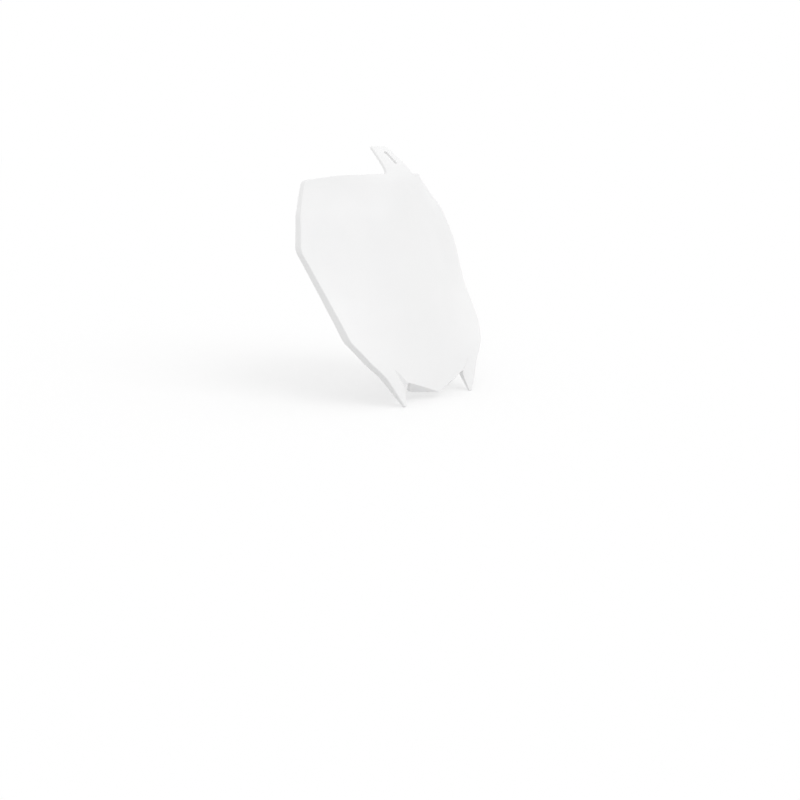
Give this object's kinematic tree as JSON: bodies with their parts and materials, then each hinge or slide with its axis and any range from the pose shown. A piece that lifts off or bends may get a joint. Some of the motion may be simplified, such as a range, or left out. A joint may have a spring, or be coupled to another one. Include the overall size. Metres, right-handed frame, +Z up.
{
  "type": "racing number board",
  "caption": "Thin moulded front number board for an off-road racing motorcycle, curved round the fork, with a slotted strap tab on top, side rims, lower ears and a bent chin lip.",
  "frame": {"origin": "middle of the strap slot, on the front of the tab", "axes": "-Y is the way the board faces, +X runs across it and +Z is up, with the board at the rake at which it is carried"},
  "size_m": [0.2367, 0.1134, 0.2615],
  "materials": {
    "white_plastic": "satin moulded polypropylene"
  },
  "bodies": {
    "root": {"number_board": "white_plastic"}
  },
  "joints": []
}
